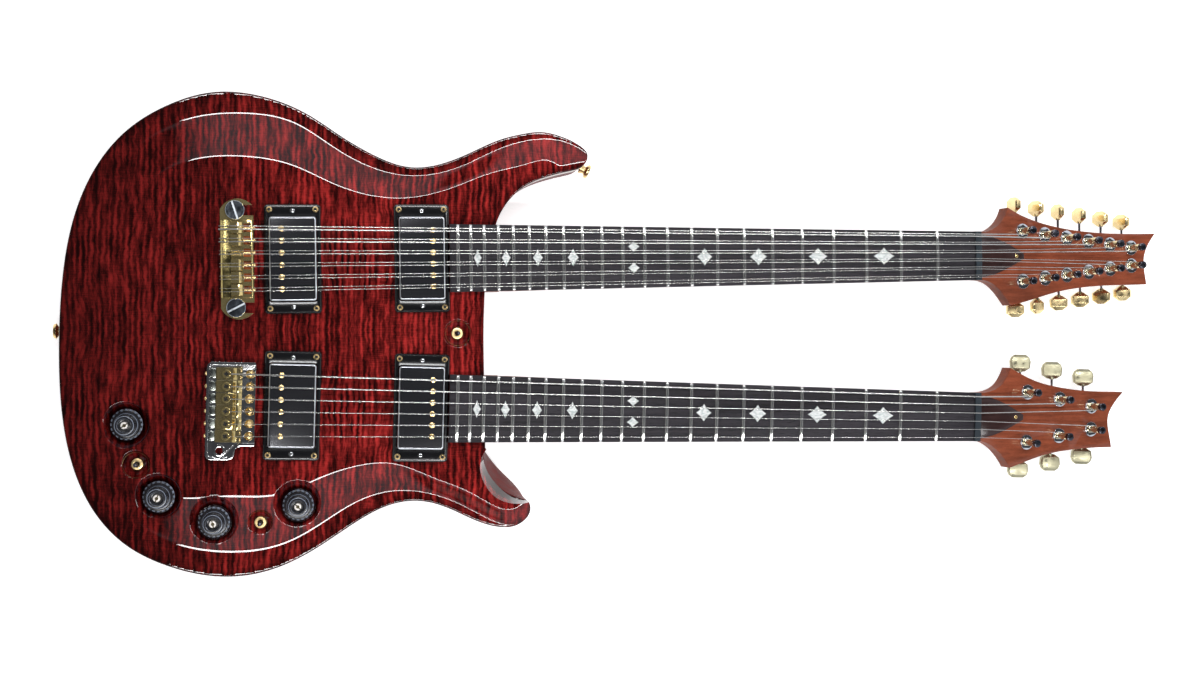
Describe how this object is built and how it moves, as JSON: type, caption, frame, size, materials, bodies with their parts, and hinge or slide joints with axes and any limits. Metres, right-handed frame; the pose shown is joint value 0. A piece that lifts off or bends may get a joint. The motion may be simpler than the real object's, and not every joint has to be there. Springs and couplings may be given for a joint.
{
  "type": "double-neck electric guitar",
  "caption": "Double-neck electric guitar with a carved maple top, a twelve-string and a six-string neck, humbucking pickups, a fixed bridge and a tremolo.",
  "frame": {"origin": "on the back face, under the bridge line, midway between the two necks", "axes": "+X runs along the necks to the headstocks, +Y points to the twelve-string neck, +Z points out of the front"},
  "size_m": [0.9769, 0.3978, 0.0648],
  "materials": {
    "back_wood": "gloss",
    "flame_top": "gloss",
    "neck_wood": "satin",
    "fingerboard_wood": "satin",
    "fret_wire": "polished",
    "nut_plastic": "satin",
    "string_steel": "polished",
    "tuner_chrome": "polished",
    "pickup_nickel": "polished",
    "ring_plastic": "gloss",
    "gold_plate": "polished",
    "tremolo_nickel": "polished",
    "saddle_brass": "polished",
    "spring_steel": "satin",
    "control_metal": "satin",
    "cover_plastic": "satin",
    "fastener_gold": "polished",
    "key_gold": "polished",
    "post_brass": "polished",
    "knob_black": "gloss",
    "lever_gold": "polished"
  },
  "bodies": {
    "guitar": {"body_back": "back_wood", "body_top": "flame_top", "necks": "neck_wood", "fingerboards": "fingerboard_wood", "frets": "fret_wire", "nuts": "nut_plastic", "strings": "string_steel", "tuner_housings": "tuner_chrome", "pickup_covers": "pickup_nickel", "pickup_rings": "ring_plastic", "wraparound_bridge": "gold_plate", "tremolo_springs": "spring_steel", "electrics": "control_metal", "cover_plates": "cover_plastic", "screws_studs_and_rods": "fastener_gold"},
    "tremolo": {"tremolo_unit": "tremolo_nickel", "tremolo_saddles": "saddle_brass"},
    "key_twelve_1": {"key_twelve_1": "key_gold"},
    "post_twelve_1": {"post_twelve_1": "post_brass"},
    "key_twelve_2": {"key_twelve_2": "key_gold"},
    "post_twelve_2": {"post_twelve_2": "post_brass"},
    "key_twelve_3": {"key_twelve_3": "key_gold"},
    "post_twelve_3": {"post_twelve_3": "post_brass"},
    "key_twelve_4": {"key_twelve_4": "key_gold"},
    "post_twelve_4": {"post_twelve_4": "post_brass"},
    "key_twelve_5": {"key_twelve_5": "key_gold"},
    "post_twelve_5": {"post_twelve_5": "post_brass"},
    "key_twelve_6": {"key_twelve_6": "key_gold"},
    "post_twelve_6": {"post_twelve_6": "post_brass"},
    "key_twelve_7": {"key_twelve_7": "key_gold"},
    "post_twelve_7": {"post_twelve_7": "post_brass"},
    "key_twelve_8": {"key_twelve_8": "key_gold"},
    "post_twelve_8": {"post_twelve_8": "post_brass"},
    "key_twelve_9": {"key_twelve_9": "key_gold"},
    "post_twelve_9": {"post_twelve_9": "post_brass"},
    "key_twelve_10": {"key_twelve_10": "key_gold"},
    "post_twelve_10": {"post_twelve_10": "post_brass"},
    "key_twelve_11": {"key_twelve_11": "key_gold"},
    "post_twelve_11": {"post_twelve_11": "post_brass"},
    "key_twelve_12": {"key_twelve_12": "key_gold"},
    "post_twelve_12": {"post_twelve_12": "post_brass"},
    "key_six_1": {"key_six_1": "key_gold"},
    "post_six_1": {"post_six_1": "post_brass"},
    "key_six_2": {"key_six_2": "key_gold"},
    "post_six_2": {"post_six_2": "post_brass"},
    "key_six_3": {"key_six_3": "key_gold"},
    "post_six_3": {"post_six_3": "post_brass"},
    "key_six_4": {"key_six_4": "key_gold"},
    "post_six_4": {"post_six_4": "post_brass"},
    "key_six_5": {"key_six_5": "key_gold"},
    "post_six_5": {"post_six_5": "post_brass"},
    "key_six_6": {"key_six_6": "key_gold"},
    "post_six_6": {"post_six_6": "post_brass"},
    "knob_1": {"knob_1": "knob_black"},
    "knob_2": {"knob_2": "knob_black"},
    "knob_3": {"knob_3": "knob_black"},
    "knob_4": {"knob_4": "knob_black"},
    "toggle_lever_1": {"toggle_lever_1": "lever_gold"},
    "toggle_lever_2": {"toggle_lever_2": "lever_gold"},
    "toggle_lever_3": {"toggle_lever_3": "lever_gold"}
  },
  "joints": [
    {"name": "key_twelve_1_turn", "type": "hinge", "parent": "guitar", "child": "key_twelve_1", "pos_m": [0.68548, 0.11523, 0.02776], "axis": [-0.0188, 0.9998, 0], "continuous": true},
    {"name": "post_twelve_1_turn", "type": "hinge", "parent": "guitar", "child": "post_twelve_1", "pos_m": [0.6844, 0.09471, 0.04596], "axis": [0.1564, 0.0029, 0.9877], "continuous": true},
    {"name": "key_twelve_2_turn", "type": "hinge", "parent": "guitar", "child": "key_twelve_2", "pos_m": [0.70869, 0.11281, 0.02409], "axis": [-0.0188, 0.9998, 0], "continuous": true},
    {"name": "post_twelve_2_turn", "type": "hinge", "parent": "guitar", "child": "post_twelve_2", "pos_m": [0.70761, 0.09228, 0.04229], "axis": [0.1564, 0.0029, 0.9877], "continuous": true},
    {"name": "key_twelve_3_turn", "type": "hinge", "parent": "guitar", "child": "key_twelve_3", "pos_m": [0.73191, 0.11038, 0.02042], "axis": [-0.0188, 0.9998, 0], "continuous": true},
    {"name": "post_twelve_3_turn", "type": "hinge", "parent": "guitar", "child": "post_twelve_3", "pos_m": [0.73082, 0.08986, 0.03862], "axis": [0.1564, 0.0029, 0.9877], "continuous": true},
    {"name": "key_twelve_4_turn", "type": "hinge", "parent": "guitar", "child": "key_twelve_4", "pos_m": [0.75512, 0.10796, 0.01675], "axis": [-0.0188, 0.9998, 0], "continuous": true},
    {"name": "post_twelve_4_turn", "type": "hinge", "parent": "guitar", "child": "post_twelve_4", "pos_m": [0.75403, 0.08744, 0.03496], "axis": [0.1564, 0.0029, 0.9877], "continuous": true},
    {"name": "key_twelve_5_turn", "type": "hinge", "parent": "guitar", "child": "key_twelve_5", "pos_m": [0.77833, 0.10554, 0.01308], "axis": [-0.0188, 0.9998, 0], "continuous": true},
    {"name": "post_twelve_5_turn", "type": "hinge", "parent": "guitar", "child": "post_twelve_5", "pos_m": [0.77724, 0.08501, 0.03129], "axis": [0.1564, 0.0029, 0.9877], "continuous": true},
    {"name": "key_twelve_6_turn", "type": "hinge", "parent": "guitar", "child": "key_twelve_6", "pos_m": [0.80154, 0.10312, 0.00941], "axis": [-0.0188, 0.9998, 0], "continuous": true},
    {"name": "post_twelve_6_turn", "type": "hinge", "parent": "guitar", "child": "post_twelve_6", "pos_m": [0.80046, 0.08259, 0.02762], "axis": [0.1564, 0.0029, 0.9877], "continuous": true},
    {"name": "key_twelve_7_turn", "type": "hinge", "parent": "guitar", "child": "key_twelve_7", "pos_m": [0.6871, 0.02925, 0.02776], "axis": [0.0188, -0.9998, 0], "continuous": true},
    {"name": "post_twelve_7_turn", "type": "hinge", "parent": "guitar", "child": "post_twelve_7", "pos_m": [0.68525, 0.04971, 0.04596], "axis": [0.1564, 0.0029, 0.9877], "continuous": true},
    {"name": "key_twelve_8_turn", "type": "hinge", "parent": "guitar", "child": "key_twelve_8", "pos_m": [0.71021, 0.03254, 0.02409], "axis": [0.0188, -0.9998, 0], "continuous": true},
    {"name": "post_twelve_8_turn", "type": "hinge", "parent": "guitar", "child": "post_twelve_8", "pos_m": [0.70835, 0.05301, 0.04229], "axis": [0.1564, 0.0029, 0.9877], "continuous": true},
    {"name": "key_twelve_9_turn", "type": "hinge", "parent": "guitar", "child": "key_twelve_9", "pos_m": [0.73331, 0.03584, 0.02042], "axis": [0.0188, -0.9998, 0], "continuous": true},
    {"name": "post_twelve_9_turn", "type": "hinge", "parent": "guitar", "child": "post_twelve_9", "pos_m": [0.73145, 0.05631, 0.03862], "axis": [0.1564, 0.0029, 0.9877], "continuous": true},
    {"name": "key_twelve_10_turn", "type": "hinge", "parent": "guitar", "child": "key_twelve_10", "pos_m": [0.75641, 0.03913, 0.01675], "axis": [0.0188, -0.9998, 0], "continuous": true},
    {"name": "post_twelve_10_turn", "type": "hinge", "parent": "guitar", "child": "post_twelve_10", "pos_m": [0.75456, 0.0596, 0.03496], "axis": [0.1564, 0.0029, 0.9877], "continuous": true},
    {"name": "key_twelve_11_turn", "type": "hinge", "parent": "guitar", "child": "key_twelve_11", "pos_m": [0.77952, 0.04243, 0.01308], "axis": [0.0188, -0.9998, 0], "continuous": true},
    {"name": "post_twelve_11_turn", "type": "hinge", "parent": "guitar", "child": "post_twelve_11", "pos_m": [0.77766, 0.0629, 0.03129], "axis": [0.1564, 0.0029, 0.9877], "continuous": true},
    {"name": "key_twelve_12_turn", "type": "hinge", "parent": "guitar", "child": "key_twelve_12", "pos_m": [0.80262, 0.04573, 0.00941], "axis": [0.0188, -0.9998, 0], "continuous": true},
    {"name": "post_twelve_12_turn", "type": "hinge", "parent": "guitar", "child": "post_twelve_12", "pos_m": [0.80076, 0.06619, 0.02762], "axis": [0.1564, 0.0029, 0.9877], "continuous": true},
    {"name": "key_six_1_turn", "type": "hinge", "parent": "guitar", "child": "key_six_1", "pos_m": [0.69254, -0.02935, 0.0269], "axis": [0.0188, 0.9998, 0], "continuous": true},
    {"name": "post_six_1_turn", "type": "hinge", "parent": "guitar", "child": "post_six_1", "pos_m": [0.69068, -0.04982, 0.0451], "axis": [0.1564, -0.0029, 0.9877], "continuous": true},
    {"name": "key_six_2_turn", "type": "hinge", "parent": "guitar", "child": "key_six_2", "pos_m": [0.72629, -0.03599, 0.02153], "axis": [0.0188, 0.9998, 0], "continuous": true},
    {"name": "post_six_2_turn", "type": "hinge", "parent": "guitar", "child": "post_six_2", "pos_m": [0.72444, -0.05645, 0.03973], "axis": [0.1564, -0.0029, 0.9877], "continuous": true},
    {"name": "key_six_3_turn", "type": "hinge", "parent": "guitar", "child": "key_six_3", "pos_m": [0.76005, -0.04262, 0.01616], "axis": [0.0188, 0.9998, 0], "continuous": true},
    {"name": "post_six_3_turn", "type": "hinge", "parent": "guitar", "child": "post_six_3", "pos_m": [0.7582, -0.06309, 0.03437], "axis": [0.1564, -0.0029, 0.9877], "continuous": true},
    {"name": "key_six_4_turn", "type": "hinge", "parent": "guitar", "child": "key_six_4", "pos_m": [0.69092, -0.11533, 0.0269], "axis": [-0.0188, -0.9998, 0], "continuous": true},
    {"name": "post_six_4_turn", "type": "hinge", "parent": "guitar", "child": "post_six_4", "pos_m": [0.68983, -0.09481, 0.0451], "axis": [0.1564, -0.0029, 0.9877], "continuous": true},
    {"name": "key_six_5_turn", "type": "hinge", "parent": "guitar", "child": "key_six_5", "pos_m": [0.7249, -0.10997, 0.02153], "axis": [-0.0188, -0.9998, 0], "continuous": true},
    {"name": "post_six_5_turn", "type": "hinge", "parent": "guitar", "child": "post_six_5", "pos_m": [0.72382, -0.08945, 0.03973], "axis": [0.1564, -0.0029, 0.9877], "continuous": true},
    {"name": "key_six_6_turn", "type": "hinge", "parent": "guitar", "child": "key_six_6", "pos_m": [0.75888, -0.10461, 0.01616], "axis": [-0.0188, -0.9998, 0], "continuous": true},
    {"name": "post_six_6_turn", "type": "hinge", "parent": "guitar", "child": "post_six_6", "pos_m": [0.7578, -0.08409, 0.03437], "axis": [0.1564, -0.0029, 0.9877], "continuous": true},
    {"name": "knob_1_turn", "type": "hinge", "parent": "guitar", "child": "knob_1", "pos_m": [-0.08815, -0.07543, 0.0422], "axis": [0, 0, 1], "range_deg": [-150, 150]},
    {"name": "knob_2_turn", "type": "hinge", "parent": "guitar", "child": "knob_2", "pos_m": [-0.06278, -0.13419, 0.0422], "axis": [0, 0, 1], "range_deg": [-150, 150]},
    {"name": "knob_3_turn", "type": "hinge", "parent": "guitar", "child": "knob_3", "pos_m": [-0.01892, -0.15562, 0.0422], "axis": [0, 0, 1], "range_deg": [-150, 150]},
    {"name": "knob_4_turn", "type": "hinge", "parent": "guitar", "child": "knob_4", "pos_m": [0.04859, -0.14252, 0.0422], "axis": [0, 0, 1], "range_deg": [-150, 150]},
    {"name": "toggle_lever_1_tilt", "type": "hinge", "parent": "guitar", "child": "toggle_lever_1", "pos_m": [-0.07998, -0.10759, 0.0432], "axis": [1, 0, 0], "range_deg": [-12, 12]},
    {"name": "toggle_lever_2_tilt", "type": "hinge", "parent": "guitar", "child": "toggle_lever_2", "pos_m": [0.01806, -0.15642, 0.0432], "axis": [1, 0, 0], "range_deg": [-12, 12]},
    {"name": "toggle_lever_3_tilt", "type": "hinge", "parent": "guitar", "child": "toggle_lever_3", "pos_m": [0.17888, 0, 0.0432], "axis": [0, 1, 0], "range_deg": [-12, 12]},
    {"name": "tremolo_tilt", "type": "hinge", "parent": "guitar", "child": "tremolo", "pos_m": [0.0096, -0.05948, 0.0536], "axis": [0.0188, 0.9998, 0], "range_deg": [-2, 12], "stiffness_Nm_per_rad": 12, "deforming": ["strings", "tremolo_springs"]}
  ],
  "couplings": [
    {"joint": "post_twelve_1_turn", "follows": "key_twelve_1_turn", "ratio": -0.071429},
    {"joint": "post_twelve_2_turn", "follows": "key_twelve_2_turn", "ratio": -0.071429},
    {"joint": "post_twelve_3_turn", "follows": "key_twelve_3_turn", "ratio": -0.071429},
    {"joint": "post_twelve_4_turn", "follows": "key_twelve_4_turn", "ratio": -0.071429},
    {"joint": "post_twelve_5_turn", "follows": "key_twelve_5_turn", "ratio": -0.071429},
    {"joint": "post_twelve_6_turn", "follows": "key_twelve_6_turn", "ratio": -0.071429},
    {"joint": "post_twelve_7_turn", "follows": "key_twelve_7_turn", "ratio": 0.071429},
    {"joint": "post_twelve_8_turn", "follows": "key_twelve_8_turn", "ratio": 0.071429},
    {"joint": "post_twelve_9_turn", "follows": "key_twelve_9_turn", "ratio": 0.071429},
    {"joint": "post_twelve_10_turn", "follows": "key_twelve_10_turn", "ratio": 0.071429},
    {"joint": "post_twelve_11_turn", "follows": "key_twelve_11_turn", "ratio": 0.071429},
    {"joint": "post_twelve_12_turn", "follows": "key_twelve_12_turn", "ratio": 0.071429},
    {"joint": "post_six_1_turn", "follows": "key_six_1_turn", "ratio": -0.071429},
    {"joint": "post_six_2_turn", "follows": "key_six_2_turn", "ratio": -0.071429},
    {"joint": "post_six_3_turn", "follows": "key_six_3_turn", "ratio": -0.071429},
    {"joint": "post_six_4_turn", "follows": "key_six_4_turn", "ratio": 0.071429},
    {"joint": "post_six_5_turn", "follows": "key_six_5_turn", "ratio": 0.071429},
    {"joint": "post_six_6_turn", "follows": "key_six_6_turn", "ratio": 0.071429}
  ]
}
